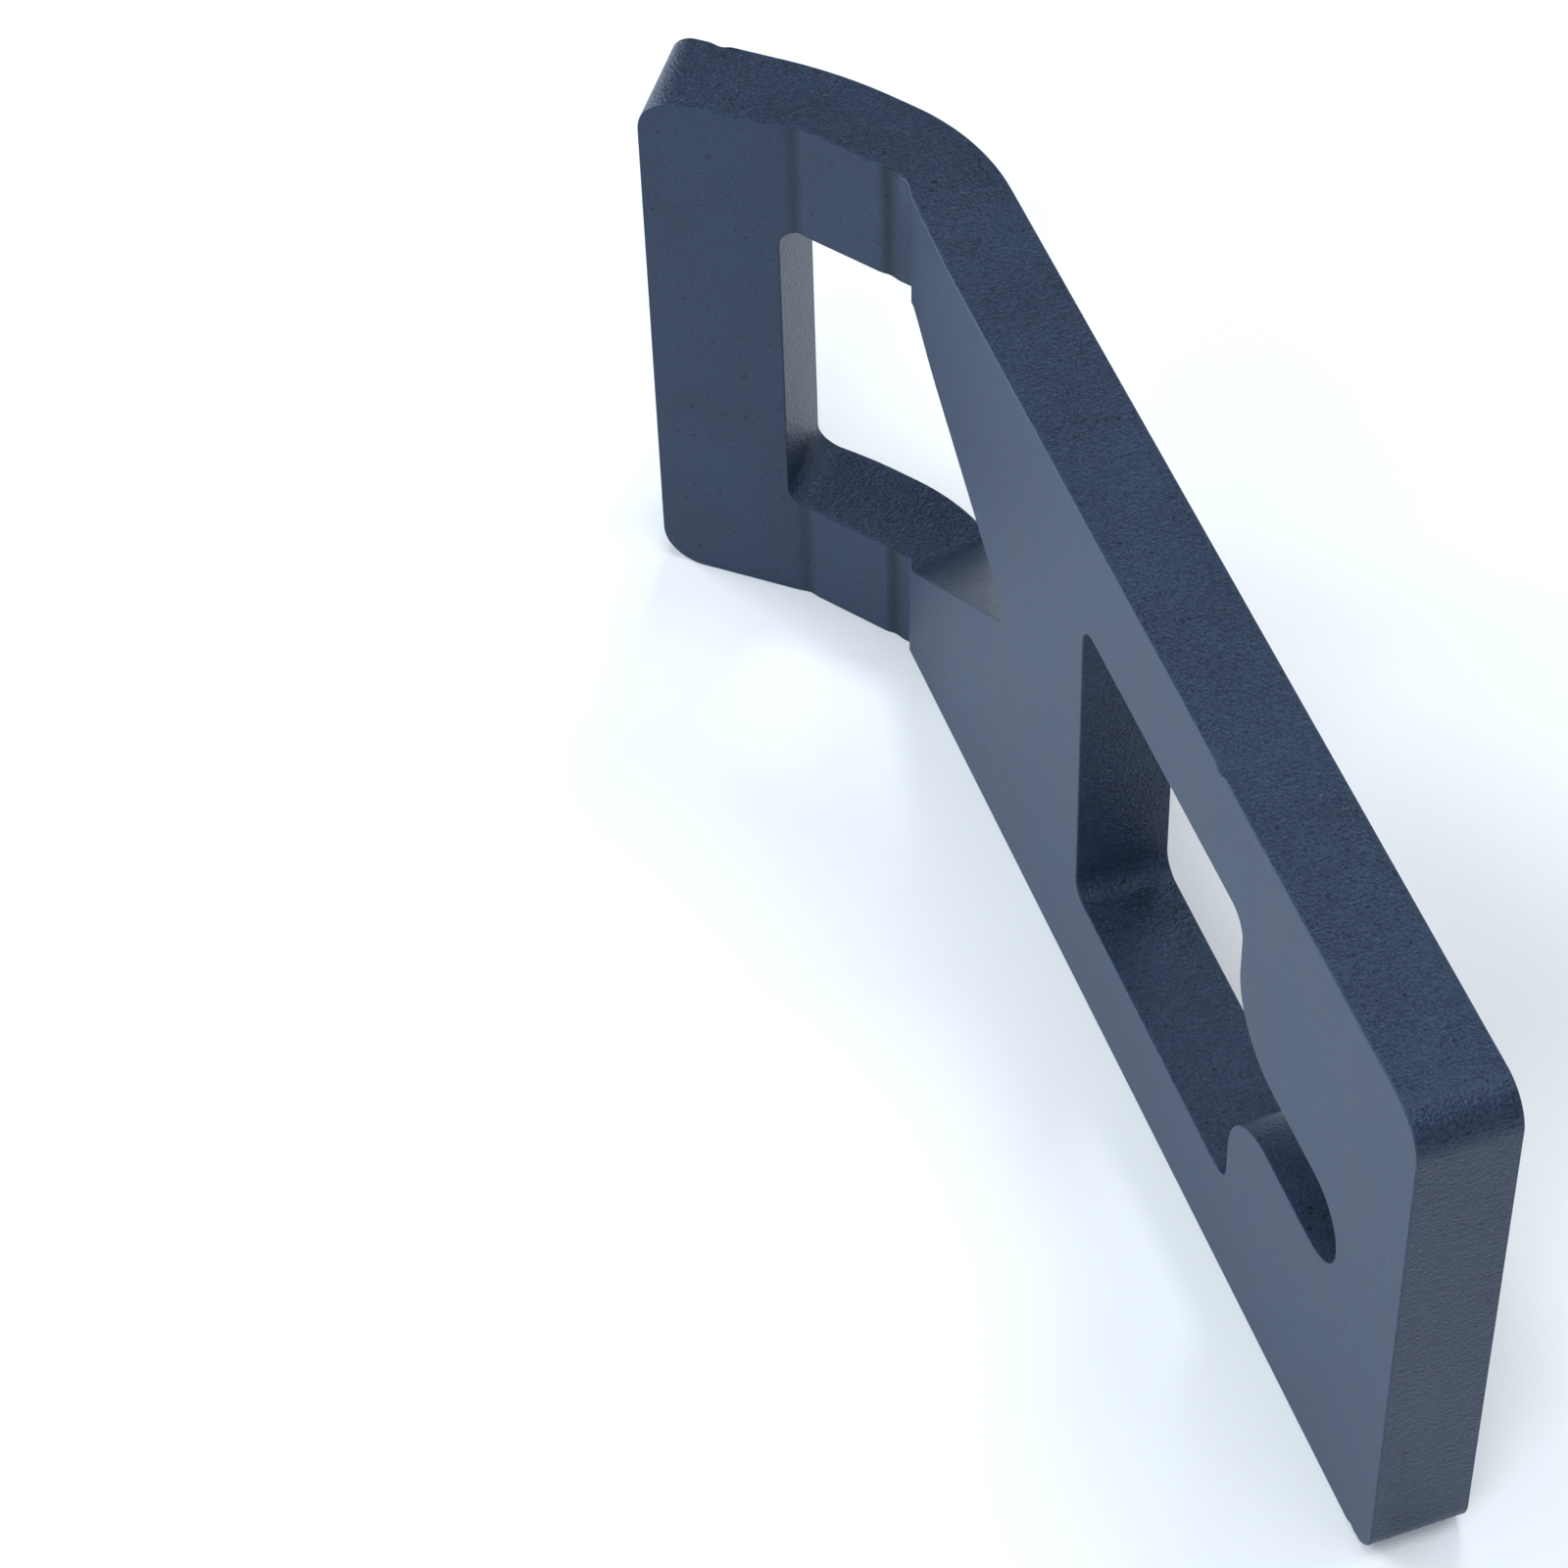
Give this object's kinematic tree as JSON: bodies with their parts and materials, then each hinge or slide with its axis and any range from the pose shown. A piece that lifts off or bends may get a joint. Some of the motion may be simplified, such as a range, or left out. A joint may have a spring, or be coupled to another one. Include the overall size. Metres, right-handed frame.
{
  "type": "post puller plate",
  "caption": "Bent steel plate: its V-ended window grips a fence post, and its square window and slot hold a chain link, so that lifting the chain pulls the post.",
  "frame": {"origin": "centre of the plate's box, on the surface that it stands on with one long edge", "axes": "+X from the lip to the chain end, +Y out of the back face of the main plate, +Z across the plate's width"},
  "size_m": [0.1826, 0.0362, 0.082],
  "materials": {
    "coated_steel": "satin dark blue-grey powder coat, fine on the faces and coarser on the cut edges"
  },
  "bodies": {
    "root": {"hook_plate": "coated_steel"}
  },
  "joints": []
}
